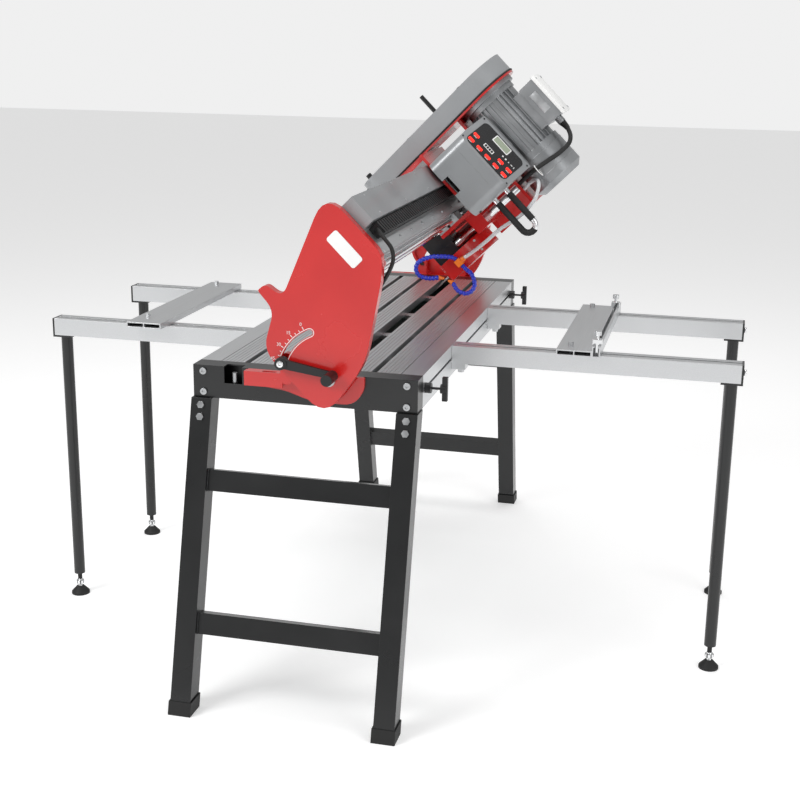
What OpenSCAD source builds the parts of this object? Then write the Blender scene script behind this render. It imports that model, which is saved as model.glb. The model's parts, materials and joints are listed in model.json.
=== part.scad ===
// Wet tile saw: a slatted water table on a splayed ladder-leg stand, with side extension rails
// on outrigger legs and a bridge that tilts about the cutting line at the table top.
// Millimetres. +Z is up, +Y runs from the operator's end to the far end, +X is to the right.
// The origin is on the floor, under the middle of the whole machine.

/* [Table] */
// Width over the two side rails
table_w = 536; // [500:2:640]
// Length over the two end beams
table_l = 1316; // [1150:2:1560]
// Height of the table top above the floor
table_h = 798; // [720:2:900]
// Height of the end beams and side rails
beam_h = 77; // [66:1:90]
// Depth of an end beam and width of a side rail
rail_w = 50; // [44:1:60]
// Width of the slot that the blade runs in
blade_gap = 40; // [34:1:48]

/* [Legs] */
// Side of the square leg tube
leg_tube = 50; // [42:1:60]
// How far a leg leans out from beam to floor, in degrees
leg_lean = 14.5; // [8:0.5:18]
// Height of the lower rung above the floor
low_rung_z = 206; // [150:2:260]
// Height of the upper rung above the floor
high_rung_z = 531; // [450:2:600]

/* [Side extensions] */
// Reach of the left rails from the middle of the table
left_reach = 820; // [700:5:900]
// Reach of the right rails from the middle of the table
right_reach = 974; // [820:5:1100]
// Distance from the front of the table to the middle of the front rail
ext_front_y = 389; // [330:1:460]
// Distance between the middles of the two rails on one side
ext_spacing = 488; // [400:2:560]
// Diameter of an outrigger leg
outrigger_d = 30; // [25:1:38]
// Height of an extension rail
ext_h = 45; // [36:1:54]

/* [Bridge] */
// Distance of the cutting line from the middle of the table
pivot_x = 76; // [60:1:92]
// Radius of the arc slot that locks the tilt
slot_r = 112; // [100:1:120]
// Width of the bridge beam
bridge_w = 140; // [120:1:150]
// Height of the bridge beam
bridge_h = 73; // [60:1:76]
// Diameter of the round guide rods along the bridge
guide_d = 16; // [12:1:20]

/* [Cutting head] */
// Distance from the front of the table to the spindle
spindle_y = 870; // [800:5:900]
// Diameter of the saw blade
blade_d = 200; // [180:1:210]
// Outside diameter of the motor
motor_d = 156; // [140:1:160]
// Radius of the pulley on the motor
motor_pulley_r = 44; // [36:1:50]
// Radius of the pulley on the spindle
spindle_pulley_r = 32; // [28:1:38]

/* [Hidden] */
$fn = 48;

// --- derived sizes of the table and stand -------------------------------------------------
row_x = (right_reach - left_reach) / 2;  // from the table's middle to the origin
row_y = table_l / 2;
half_w = table_w / 2;
beam_z = table_h - beam_h;  // underside of the end beams
wall = 3;
gap = 0.3;  // between pieces that slide on each other
inner_w = table_w - 2 * rail_w;
slat_n_left = 4;
slat_n_right = 2;
slat_gap = 14;
slat_t = 20;
slot_mid = pivot_x - 6;  // the blade slot is to the left of the tilt axis
slat_left = -inner_w / 2 + 2;
slat_right = inner_w / 2 - 2;
rung_h = 50;
rung_d = 30;
cap_h = 32;
cap_floor = 8;
notch_x = pivot_x - 246;
notch_w = 44;
t_slot_z = table_h - 36;

// --- derived sizes of the extensions -------------------------------------------------------
ext_w = 50;
ext_top = table_h - 1;
ext_bottom = ext_top - ext_h;
end_t = 5;
slide_slot = 8;
ext_rear_y = ext_front_y + ext_spacing;
outrigger_in = 27;  // from the rail's end to the middle of the leg
plate_t = 15;
foot_h = 62;  // from the floor to the end of the outrigger tube
stem_r = 6;
fit = 0.05;  // radial clearance of a running fit

// --- derived sizes of the tilting bridge: u across, y along, w up at 0 degrees -------------
rest_tilt = 45;
pivot_z = table_h + 2;
pin_r = 12;
bracket_front = -26;
plate_depth = 23;
plate_back = bracket_front - 1;
plate_front = plate_back - plate_depth;
face_t = 8;
bolt_r = 6;
lock_angle = 163.5;  // of the lock bolt about the pivot, fixed on the stand
bridge_u = -115;  // right-hand side of the beam
bridge_top = 285;
bridge_bottom = bridge_top - bridge_h;
guide_u = bridge_u + 3 + guide_d / 2;
guide_w = [bridge_top - 18, bridge_bottom + 18];
saddle_w = 320;  // underside of the saddle, clear over the cable chain
plunge = 80;

// --- derived sizes of the carriage and head --------------------------------------------------
spindle_w = 162;
motor_w = 528;
shell_u0 = -351;
shell_u1 = -297;
head_u = -289;
rod_u = -50;
rod_r = 10;
rod_y = [spindle_y - 55, spindle_y + 55];
box_u = -157;
box_w = 182;
box_y = [spindle_y - 215, spindle_y - 85];
panel_tilt = 30;
panel_front = [box_y[0], 444];  // y and w of the front edge of the sloping panel
panel_len = 125;
key_pitch = 31;
key_size = [19, 9];
handle_y = box_y[0] + 65;
motor_core_r = motor_d / 2 - 8;
motor_flange_r = motor_d / 2 + 6;  // reaches down to the top of the cradle
fan_cover_r = motor_d / 2 - 2;
fan_r = fan_cover_r - 14;
guard_r = 118;
guard_u = [-34, 17];

// --- helpers ---------------------------------------------------------------------------------
module row() translate([-row_x, -row_y, 0]) children();
module rear() translate([0, table_l, 0]) mirror([0, 1, 0]) children();
module both_ends() { children(); rear() children(); }
module both_sides() { children(); mirror([1, 0, 0]) children(); }
// The bridge's own frame, turned about the pivot to the stored tilt
module tilted() translate([pivot_x, 0, pivot_z]) rotate([0, rest_tilt, 0]) children();
// A flat outline in u and w, given thickness along y
module on_uw(y, t) translate([0, y + t, 0]) rotate([90, 0, 0]) linear_extrude(t) children();
// A flat outline in y and w, given thickness along u
module on_yw(u, t) translate([u, 0, 0]) rotate([90, 0, 90]) linear_extrude(t) children();
module box(lo, hi) translate(lo) cube(hi - lo);
module rod_u_axis(u0, u1, y, w, r) translate([u0, y, w]) rotate([0, 90, 0]) cylinder(h = u1 - u0, r = r);
module rod_y_axis(y0, y1, u, w, r) translate([u, y0, w]) rotate([-90, 0, 0]) cylinder(h = y1 - y0, r = r);
// Corners [x, y, setback] joined by curves that start a setback away from each corner
function flat(p) = [p[0], p[1]];
function toward(a, b, d) = flat(a) + (flat(b) - flat(a)) * d / norm(flat(b) - flat(a));
function corner(a, b, c, n) = b[2] == 0 ? [flat(b)] : let (p = toward(b, a, b[2]), q = toward(b, c, b[2]))
  [for (i = [0:n]) let (t = i / n) p * pow(1 - t, 2) + flat(b) * 2 * t * (1 - t) + q * pow(t, 2)];
function rounded(pts, n = 6) = let (m = len(pts))
  [for (i = [0:m - 1]) each corner(pts[(i + m - 1) % m], pts[i], pts[(i + 1) % m], n)];
module rounded_rect(w, h, r) {
  square([w - 2 * r, h], center = true);
  square([w, h - 2 * r], center = true);
  for (i = [-1, 1], j = [-1, 1]) translate([i * (w / 2 - r), j * (h / 2 - r)]) circle(r);
}
// A smooth curve through the points, with `n` steps between each pair
function spline(p, n) = let (m = len(p) - 1)
  [for (i = [0:m - 1], k = [0:n - 1]) let (t = k / n, a = p[max(i - 1, 0)], b = p[i], c = p[i + 1],
    d = p[min(i + 2, m)]) 0.5 * (2 * b + (c - a) * t + (2 * a - 5 * b + 4 * c - d) * pow(t, 2)
    + (3 * b - a - 3 * c + d) * pow(t, 3)), p[m]];
// A closed round tube along the curve; `up` is any direction that the curve never takes
module tube(path, r, up, sides = 8) {
  m = len(path) - 1;
  rings = [for (i = [0:m]) let (t = path[min(i + 1, m)] - path[max(i - 1, 0)], a = cross(up, t),
    n = a / norm(a), b = cross(t, n) / norm(t))
    each [for (k = [0:sides - 1]) path[i] + r * (cos(360 * k / sides) * n + sin(360 * k / sides) * b)]];
  sides_of = [for (i = [0:m - 1], k = [0:sides - 1]) let (j = (k + 1) % sides)
    [i * sides + k, (i + 1) * sides + k, (i + 1) * sides + j, i * sides + j]];
  polyhedron(rings, concat(sides_of, [[for (k = [0:sides - 1]) k]],
    [[for (k = [sides - 1:-1:0]) m * sides + k]]));
}

// --- stand -------------------------------------------------------------------------------------
// Turns the legs about the outer bottom edge of the end beam
module leaning() translate([0, leg_tube / 2 - 9, beam_z]) rotate([-leg_lean, 0, 0]) children();
module below_beam(lo = 0, hi = beam_z) box([-half_w - 40, -400, lo], [half_w + 40, 400, hi]);

module beam_profile() difference() {
  box([-half_w, 0, beam_z], [half_w, rail_w, table_h]);
  box([-half_w + wall, wall, beam_z + wall], [half_w - wall, rail_w - wall, table_h - wall]);
  // pocket for the stop screw of the upright position
  box([notch_x - notch_w / 2, -1, table_h - 40], [notch_x + notch_w / 2, rail_w / 2, table_h + 1]);
}
// Short square stub under the beam that the leg slides over
module leg_stub() intersection() {
  below_beam(beam_z - 70, beam_z);
  leaning() for (i = [-1, 1]) translate([i * (half_w + 2.5 - leg_tube / 2), 0, 0]) difference() {
    cube([leg_tube - 6, leg_tube - 6, 300], center = true);
    cube([leg_tube - 14, leg_tube - 14, 302], center = true);
  }
}
module end_beams() color("#1d1e20") both_ends() { beam_profile(); leg_stub(); }

module side_rail() difference() {
  box([half_w - rail_w, rail_w, beam_z], [half_w, table_l - rail_w, table_h]);
  box([half_w - rail_w + wall, 0, t_slot_z + 12], [half_w - wall, table_l, table_h - wall]);
  box([half_w - rail_w + wall, 0, beam_z + wall], [half_w - 16, table_l, t_slot_z + 9]);
  box([half_w - 13, 0, beam_z + wall], [half_w - wall, table_l, t_slot_z - 9]);
  // T-slot along the outer face
  box([half_w - 13, 0, t_slot_z - 6], [half_w - 5, table_l, t_slot_z + 9]);
  box([half_w - 6, 0, t_slot_z - 2], [half_w + 1, table_l, t_slot_z + 5]);
}
module side_rails() color("#b9bdc0") both_sides() side_rail();

module slat(x0, x1) difference() {
  box([x0, rail_w + gap, table_h - slat_t], [x1, table_l - rail_w - gap, table_h]);
  box([x0 + 3, 0, table_h - slat_t + 3], [x1 - 3, table_l, table_h - 5]);
  for (i = [1:5]) translate([x0 + (x1 - x0) * i / 6 - 1, 0, table_h - 1.2]) cube([2, table_l, 2]);
}
module slat_run(x0, x1, n) {
  pitch = (x1 - x0 + slat_gap) / n;
  for (i = [0:n - 1]) slat(x0 + i * pitch, x0 + (i + 1) * pitch - slat_gap);
}
module table_slats() color("#c3c6c8") {
  slat_run(slat_left, slot_mid - blade_gap / 2, slat_n_left);
  slat_run(slot_mid + blade_gap / 2, slat_right, slat_n_right);
  // bearers under the slats
  for (i = [1:4]) translate([-inner_w / 2 + gap, table_l * i / 5 - 15, table_h - slat_t - 10.2])
    cube([inner_w - 2 * gap, 30, 10]);
}

module water_tray() color("#39423f") difference() {
  box([-inner_w / 2 + 1, rail_w + 1, beam_z + 1], [inner_w / 2 - 1, table_l - rail_w - 1, table_h - 34]);
  box([-inner_w / 2 + 3, rail_w + 3, beam_z + 3], [inner_w / 2 - 3, table_l - rail_w - 3, table_h]);
  translate([inner_w / 2 - 60, table_l - 120, beam_z - 1]) cylinder(h = 6, r = 12);
}

module leg_bar(side, width) leaning() translate([side * (half_w + 2.5 - leg_tube / 2), 0, 0])
  cube([width, width, 2 * table_h], center = true);
module leg_post(side) intersection() {
  below_beam(cap_floor);
  difference() { leg_bar(side, leg_tube); leg_bar(side, leg_tube - 5); }
}
module leg_rung(z) {
  span = table_w + 5 - 2 * leg_tube - 0.2;
  leaning() translate([0, 0, (z - beam_z) / cos(leg_lean)]) difference() {
    cube([span, rung_d, rung_h], center = true);
    cube([span + 2, rung_d - 4, rung_h - 4], center = true);
  }
}
module leg_frames() color("#1b1c1e") both_ends() {
  leg_post(-1);
  leg_post(1);
  leg_rung(low_rung_z);
  leg_rung(high_rung_z);
}
module leg_foot_caps() color("#151516") both_ends() for (side = [-1, 1]) difference() {
  intersection() { below_beam(0, cap_h); leg_bar(side, leg_tube + 6); }
  intersection() { below_beam(cap_floor, cap_h + 1); leg_bar(side, leg_tube); }
}

// Round head with a hexagon socket, facing the front
module socket_screw(x, z, y = 0, r = 8) translate([x, y, z]) rotate([90, 0, 0]) difference() {
  cylinder(h = 4, r = r);
  translate([0, 0, 1.5]) cylinder(h = 4, r = r / 2, $fn = 6);
}
module frame_bolts() color("#2a2b2d") both_ends() {
  for (x = [-half_w + 25, half_w - 25], z = [beam_z + 14, table_h - 14]) socket_screw(x, z);
  for (side = [-1, 1], d = [22, 50]) leaning()
    translate([side * (half_w + 2.5 - leg_tube / 2), -leg_tube / 2, -d]) rotate([90, 0, 0]) cylinder(h = 5, r = 9, $fn = 6);
  // stop screw that the horn of the tilt plate lands on
  translate([notch_x, rail_w / 4, table_h - 40]) cylinder(h = 24, r = 6);
  // head that keeps the tilt plate on its pivot
  rod_y_axis(plate_front - 8, plate_front - gap, pivot_x, pivot_z, pin_r + 4);
}

lock_x = pivot_x + slot_r * cos(lock_angle);
lock_z = pivot_z + slot_r * sin(lock_angle);
module base_bracket() difference() {
  union() {
    on_uw(-8, 8) polygon(rounded([[-134, table_h, 4], [-134, table_h - 34, 6], [-40, table_h - 44, 20],
      [pivot_x - 50, table_h - 66, 30], [pivot_x + 50, table_h - 66, 30], [pivot_x + 70, table_h - 26, 10], [pivot_x + 70, table_h, 4]]));
    box([-134, bracket_front, table_h - 6], [lock_x + 30, -8, table_h]);
    box([-134, bracket_front, table_h - 34], [lock_x - 10, bracket_front + 5, table_h - 6]);
    rod_y_axis(bracket_front, -8, pivot_x, pivot_z, 34);
    hull() {
      rod_y_axis(bracket_front, -8, lock_x, lock_z, 15);
      rod_y_axis(bracket_front, -8, lock_x, table_h - 10, 15);
    }
    // pivot pin
    rod_y_axis(plate_front - gap, -8, pivot_x, pivot_z, pin_r);
  }
  rod_y_axis(bracket_front - 1, 1, lock_x, lock_z, bolt_r + fit);
  // slotted hole in the shelf
  for (dx = [-12, 12]) translate([-76 + dx, -16, table_h - 10]) cylinder(h = 20, r = 5);
  translate([-88, -21, table_h - 10]) cube([24, 10, 20]);
}
module base_brackets() color("#c9302c") both_ends() base_bracket();

// --- tilting bridge ------------------------------------------------------------------------------
plate_outline = [[-300, 287, 62], [-118, 287, 22], [-80, 248, 25], [30, 88, 40], [58, -72, 62],
  [-148, -69, 36], [-195, 14, 24], [-252, 18, 6], [-250, 42, 12], [-202, 50, 26]];
module tilt_plate_flat() polygon(rounded(plate_outline));
slot_half = bolt_r + 1;
slot_turn = [lock_angle - 5, lock_angle + rest_tilt + 1];
module arc_slot() translate([0, plate_back + 1, 0]) rotate([90, 0, 0]) {
  rotate([0, 0, slot_turn[0]]) rotate_extrude(angle = slot_turn[1] - slot_turn[0])
    translate([slot_r - slot_half, 0]) square([2 * slot_half, plate_depth + 2]);
  for (a = slot_turn) rotate([0, 0, a]) translate([slot_r, 0, 0]) cylinder(h = plate_depth + 2, r = slot_half + 0.2);
}
rim_t = 7;
module tilt_plate() difference() {
  union() {
    difference() {
      on_uw(plate_front, plate_depth) tilt_plate_flat();
      on_uw(plate_front + face_t, plate_depth) offset(delta = -rim_t) tilt_plate_flat();
    }
    rod_y_axis(plate_front + 1, plate_back, 0, 0, 34);
    // solid seat that the end of the bridge beam bolts to
    box([bridge_u - bridge_w - 2, plate_front + 2, bridge_bottom], [bridge_u, plate_back, bridge_top - 2]);
  }
  rod_y_axis(plate_front - 1, plate_back + 1, 0, 0, pin_r + fit);
  arc_slot();
}
module tilt_plates() color("#cf2f2b") tilted() both_ends() tilt_plate();

module bridge_section() {
  difference() {
    translate([bridge_u - bridge_w, bridge_bottom]) square([bridge_w, bridge_h]);
    for (i = [0, 1]) translate([bridge_u - bridge_w + 5 + i * (bridge_w - 5) / 2, bridge_bottom + 5])
      square([(bridge_w - 15) / 2, bridge_h - 10]);
  }
  for (w = guide_w) translate([bridge_u - 1, w - 3]) square([4.5, 6]);
}
module bridge_beam() color("#aeb3b6") tilted() on_uw(plate_back, table_l - 2 * plate_back) bridge_section();
module guide_rods() color("#d8dadd") tilted()
  for (w = guide_w) rod_y_axis(plate_back + 2, table_l - plate_back - 2, guide_u, w, guide_d / 2);

cover_u = [bridge_u - bridge_w, bridge_u - bridge_w + 69];
cover_top = bridge_top + 31;
module beam_cover() color("#8b8f91") tilted() difference() {
  box([cover_u[0], plate_back + 4, bridge_top], [cover_u[1], table_l - plate_back - 4, cover_top]);
  box([cover_u[0] + 2, plate_back + 6, bridge_top - 1], [cover_u[1] - 2, table_l - plate_back - 6, cover_top - 2]);
}
chain_u = [cover_u[1] + 4, cover_u[1] + 34];
link_pitch = 18;
module cable_chain() color("#1a1a1b") tilted() {
  box([chain_u[0] + 2, 8, bridge_top], [chain_u[1] - 2, table_l - 8, bridge_top + 21]);
  for (y = [12:link_pitch:table_l - 24]) box([chain_u[0], y, bridge_top], [chain_u[1], y + 11, bridge_top + 24]);
}
// Power cable: leaves the chain's front end, rounds the plate's edge and goes in behind it
power_path = [[-167, 8, 297], [-156, -3, 301], [-138, -12, 303], [-114, -14, 300], [-94, -13, 284],
  [-82, -12, 258], [-74, -11, 228], [-66, -10, 196], [-61, -12, 166], [-62, -24, 140], [-66, -42, 118]];
module power_cable() color("#141415") tilted() tube(spline(power_path, 4), 4.5, [0.9, 0.4, 0.1]);

// Lever, hub and bolt that clamp the plate through its arc slot, made for the front
grip_at = [pivot_x + 12, pivot_z + 12];
module lever_parts() {
  rod_y_axis(plate_front - 4, -3, lock_x, lock_z, bolt_r);
  rod_y_axis(plate_front - 20, plate_front - gap, lock_x, lock_z, 14);
  hull() {
    rod_y_axis(plate_front - 17, plate_front - 9, lock_x, lock_z, 11);
    rod_y_axis(plate_front - 17, plate_front - 9, grip_at[0], grip_at[1], 8);
  }
  rod_y_axis(plate_front - 62, plate_front - 14, grip_at[0], grip_at[1], 13);
}
module front_lock_lever() color("#19191a") lever_parts();
module rear_lock_lever() color("#19191a") rear() lever_parts();

// Wing knob that screws into the T-slot of the right side rail
module rail_knob(y) color("#19191a") translate([half_w, y, t_slot_z + 1.5]) rotate([0, 90, 0]) {
  translate([0, 0, -3]) cylinder(h = 43, r = 3);
  translate([0, 0, gap]) cylinder(h = 14, r = 12);
  translate([0, 0, 36]) cylinder(h = 14, r = 11);
  translate([-28, -6, 40]) cube([56, 12, 12]);
}
knob_y = 75;
module front_rail_knob() rail_knob(knob_y);
module rear_rail_knob() rail_knob(table_l - knob_y);

// --- carriage --------------------------------------------------------------------------------------
side_u = -92;
left_u = -285;
block_len = 60;
block_y = [spindle_y - 170, spindle_y - 30];
saddle_y = [spindle_y - 180, spindle_y + 75];
module carriage_saddle() color("#c42d29") tilted() difference() {
  union() {
    box([left_u, saddle_y[0], saddle_w], [side_u + 10, saddle_y[1], saddle_w + 8]);
    // right side plate that the bearing blocks bolt to
    box([side_u, saddle_y[0] + 10, bridge_bottom + 1], [side_u + 10, saddle_y[1], saddle_w + 1]);
    // left side plate
    on_yw(left_u, 10) polygon(rounded([[saddle_y[0] + 50, saddle_w + 1, 0], [saddle_y[0] + 50, 290, 10],
      [saddle_y[0] + 90, 208, 14], [saddle_y[1] - 60, 208, 14], [saddle_y[1], 290, 10], [saddle_y[1], saddle_w + 1, 0]]));
    // carrier for the plunge rods
    box([side_u + 9, saddle_y[0] + 55, 284], [rod_u + 22, saddle_y[1], saddle_w + 5]);
  }
  for (y = rod_y) translate([rod_u, y, 270]) cylinder(h = 80, r = rod_r + fit);
}
module bearing_block(y, w) difference() {
  box([guide_u - guide_d / 2 - 2, y, w - 15], [side_u, y + block_len, w + 15]);
  rod_y_axis(y - 1, y + block_len + 1, guide_u, w, guide_d / 2 + fit);
  box([guide_u - guide_d, y - 1, w - 4], [guide_u, y + block_len + 1, w + 4]);
}
module carriage_bearings() color("#9fa4a8") tilted() for (y = block_y, w = guide_w) bearing_block(y, w);

// Profile of the control box in y and w
slope = [cos(panel_tilt), sin(panel_tilt)];
panel_back = panel_front + panel_len * slope;
box_base = saddle_w + 8;
bezel_t = 26;
module box_profile() polygon([[box_y[0], box_base], panel_front, panel_back, [box_y[1], panel_back[1]], [box_y[1], box_base]]);
module seam_side() {
  n = [-slope[1], slope[0]];
  a = panel_front - bezel_t * n - 40 * slope;
  b = panel_back - bezel_t * n + 60 * slope;
  polygon([a, b, b + 200 * n, a + 200 * n]);
}
module box_plan(inset) translate([box_u, (box_y[0] + box_y[1]) / 2, box_base - 1]) linear_extrude(250)
  rounded_rect(box_w - 2 * inset, box_y[1] - box_y[0] - 2 * inset, 26 - inset);
module control_box() color("#8f9497") tilted() difference() {
  intersection() {
    on_yw(box_u - box_w / 2, box_w) difference() { box_profile(); seam_side(); }
    box_plan(0);
  }
  intersection() {
    on_yw(box_u - box_w / 2, box_w) difference() {
      translate([0, 3]) box_profile();
      translate([0, 1]) seam_side();
    }
    box_plan(3);
    box([box_u - box_w, 0, box_base + 3], [box_u + box_w, 2000, 420]);
  }
  // mouth for the moving end of the cable chain
  box([chain_u[0] - 10, box_y[0] - 1, box_base - 1], [chain_u[1] + 10, box_y[0] + 40, box_base + 20]);
}
// Frame of the sloping panel: x runs along u, y up the slope, z out of the panel
module on_panel() translate([box_u, panel_front[0], panel_front[1]]) rotate([panel_tilt, 0, 0]) children();
membrane = [150, 108];
module membrane_flat(inset = 0) translate([0, panel_len / 2])
  rounded_rect(membrane[0] - 2 * inset, membrane[1] - 2 * inset, 16 - inset);
row_1 = 24;
row_pitch = 26;
// Key centres across and up the panel
keys = [[-2, 0], [-1, 0], [0, 0], [1, 0], [2, 0], [-2, 1], [1, 1], [2, 1]];
function key_at(i) = [keys[i][0] * key_pitch, row_1 + keys[i][1] * row_pitch];
module key_flat(grow = 0) rounded_rect(key_size[0] + grow, key_size[1] + grow, 3);
module all_key_holes() for (i = [0:7]) translate(key_at(i)) key_flat(1);
module control_bezel() color("#9a9fa2") tilted() difference() {
  intersection() {
    on_yw(box_u - box_w / 2, box_w) intersection() { box_profile(); seam_side(); }
    box_plan(0);
  }
  on_panel() {
    translate([0, 0, -1.5]) linear_extrude(10) membrane_flat(-0.2);
    translate([0, 0, -8]) linear_extrude(10) all_key_holes();
  }
}
module control_panel() color("#141516") tilted() on_panel() translate([0, 0, -1.4]) linear_extrude(1.2)
  difference() { membrane_flat(); all_key_holes(); }
module panel_key(i) color("#d5211f") tilted() on_panel() translate([key_at(i)[0], key_at(i)[1], -4])
  linear_extrude(5.2) key_flat();

module push_handle() color("#1c1c1d") tilted() {
  u0 = box_u + box_w / 2;
  u1 = 45;
  for (w = [385, 425]) rod_u_axis(u0, u1, handle_y, w, 9);
  translate([u1, handle_y, 405]) rotate([90, 0, 0]) rotate([0, 0, -90]) rotate_extrude(angle = 180) translate([20, 0]) circle(9);
}

// --- cutting head -------------------------------------------------------------------------------------
module belt_line(extra) hull() {
  translate([spindle_y, spindle_w]) circle(55 + extra, $fn = 48);
  translate([spindle_y, motor_w]) circle(97 + extra, $fn = 64);
}
cradle_w = motor_w - motor_d / 2 - 14;
column_u = [-80, -36.5];
foot_y = [spindle_y - 71, spindle_y + 71];  // outer ends of the plunge rods' feet
housing_y = [spindle_y - 40, spindle_y + 37];
module head_frame() color("#bf2c28") tilted() difference() {
  union() {
    on_yw(shell_u1, head_u - shell_u1) belt_line(0);
    // cradle under the motor
    box([head_u - 1, spindle_y - 68, cradle_w], [10, spindle_y + 95, cradle_w + 8]);
    // rear column from the cradle down to the spindle housing, narrow where it passes the guard
    box([column_u[0], spindle_y + 85, 285], [10, spindle_y + 95, cradle_w + 1]);
    box([column_u[0], spindle_y + 85, spindle_w - 30], [column_u[1], spindle_y + 95, 286]);
    box([column_u[0], foot_y[1], spindle_w - 30], [column_u[1], spindle_y + 86, spindle_w + 30]);
    on_yw(column_u[0], 8) polygon([[foot_y[1], spindle_w + 29], [spindle_y + 86, spindle_w + 29],
      [spindle_y + 86, spindle_w + 108]]);
  }
  rod_u_axis(shell_u1 - 1, head_u + 1, spindle_y, spindle_w, 24);
  rod_u_axis(shell_u1 - 1, head_u + 1, spindle_y, motor_w, 30);
}
housing_r = 40;
module spindle_housing() color("#1c1d1f") tilted() difference() {
  union() {
    rod_u_axis(head_u, -158, spindle_y, spindle_w, 33);
    box([-160, housing_y[0], spindle_w - housing_r], [-36, housing_y[1], spindle_w + housing_r]);
    // feet of the plunge rods
    box([rod_u - 16, foot_y[0], spindle_w - 20], [rod_u + 14, housing_y[0] + 1, spindle_w + housing_r]);
    box([rod_u - 16, housing_y[1] - 1, spindle_w - 20], [rod_u + 14, foot_y[1], spindle_w + housing_r]);
  }
  rod_u_axis(head_u - 1, -20, spindle_y, spindle_w, 12 + fit);
  rod_u_axis(head_u + 20, -60, spindle_y, spindle_w, 22);
  for (y = rod_y) translate([rod_u, y, spindle_w]) cylinder(h = 60, r = rod_r + 0.02);
}
module plunge_rods() color("#e3e5e8") tilted() for (y = rod_y)
  translate([rod_u, y, spindle_w + 0.5]) cylinder(h = cradle_w - spindle_w - 1, r = rod_r);

module motor_housing() color("#a7acaf") tilted() difference() {
  union() {
    rod_u_axis(head_u, -277, spindle_y, motor_w, motor_flange_r);
    rod_u_axis(-278, -262, spindle_y, motor_w, motor_d / 2 - 3);
    rod_u_axis(-263, -95, spindle_y, motor_w, motor_core_r);
    rod_u_axis(-96, -80, spindle_y, motor_w, motor_d / 2 - 3);
    for (a = [0:11.25:359]) if (a < 60 || a > 120) translate([-263, spindle_y, motor_w]) rotate([a, 0, 0])
      translate([0, motor_core_r - 2, -1.25]) cube([168, 9, 2.5]);
    // pad under the terminal box
    box([-232, spindle_y - 45, motor_w + 50], [-118, spindle_y + 45, motor_w + motor_d / 2 + 2]);
    // feet on the cradle
    for (u = [-240, -125], s = [-1, 1]) box([u, spindle_y + s * 48 - 14, cradle_w + 8], [u + 30, spindle_y + s * 48 + 14, motor_w - 40]);
  }
  rod_u_axis(head_u - 1, 0, spindle_y, motor_w, 9.5 + fit);
  rod_u_axis(-270, -90, spindle_y, motor_w, motor_core_r - 8);
}
module motor_fan_cover() color("#9aa0a3") tilted() difference() {
  translate([-80, spindle_y, motor_w]) rotate([0, 90, 0]) rotate_extrude($fn = 64)
    polygon([[fan_cover_r - 2.5, 0], [fan_cover_r, 0], [fan_cover_r, 82], [fan_cover_r - 16, 97], [0, 97], [0, 94.5],
      [fan_cover_r - 17, 94.5], [fan_cover_r - 2.5, 81]]);
  for (a = [0:30:330], ring = [1:3]) translate([-10, spindle_y, motor_w]) rotate([a, 0, 0])
    translate([0, ring * fan_cover_r / 5, -3]) cube([40, 7, 6]);
}
tbox_w = motor_w + motor_d / 2 + 2;
module terminal_box() color("#b4b8ba") tilted() {
  difference() {
    box([-235, spindle_y - 50, tbox_w], [-115, spindle_y + 50, tbox_w + 46]);
    box([-231, spindle_y - 46, tbox_w + 4], [-119, spindle_y + 46, tbox_w + 47]);
  }
  box([-239, spindle_y - 54, tbox_w + 46], [-111, spindle_y + 54, tbox_w + 56]);
  // cable gland
  rod_u_axis(-116, -98, spindle_y, tbox_w + 24, 11);
}
pulley_u = [-333, -307];
module pulley(y, w, r) {
  rod_u_axis(pulley_u[0], pulley_u[1], y, w, r);
  for (u = [pulley_u[0] - 3, pulley_u[1]]) rod_u_axis(u, u + 3, y, w, r + 6);
}
module motor_rotor() color("#8d9194") tilted() {
  rod_u_axis(pulley_u[0] - 6, -20, spindle_y, motor_w, 9.5);
  rod_u_axis(-235, -125, spindle_y, motor_w, motor_core_r - 24);
  pulley(spindle_y, motor_w, motor_pulley_r);
  // cooling fan
  rod_u_axis(-60, -54, spindle_y, motor_w, fan_r);
  for (a = [0:60:300]) translate([-55, spindle_y, motor_w]) rotate([a, 0, 0])
    translate([0, 20, -1.5]) cube([28, fan_r - 22, 3]);
}
module belt_flat(extra) hull() {
  translate([spindle_y, spindle_w]) circle(spindle_pulley_r + extra, $fn = 40);
  translate([spindle_y, motor_w]) circle(motor_pulley_r + extra, $fn = 40);
}
module drive_belt() color("#1b1b1c") tilted() on_yw(pulley_u[0] + gap, pulley_u[1] - pulley_u[0] - 2 * gap)
  difference() { belt_flat(4.5); belt_flat(0.4); }
module belt_cover() color("#8f9496") tilted() difference() {
  on_yw(shell_u0, shell_u1 - shell_u0) belt_line(0);
  on_yw(shell_u0 + 2.5, 60) belt_line(-2.5);
}
module cover_knobs() color("#161617") tilted() {
  rod_u_axis(-420, shell_u0, spindle_y + 30, 390, 6);
  rod_u_axis(shell_u0 - 16, shell_u0, spindle_y, 135, 8);
  for (s = [-1, 1]) translate([shell_u0 + 22, spindle_y + s * 18, spindle_w - 68]) cylinder(h = 20, r = 8);
}

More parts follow.
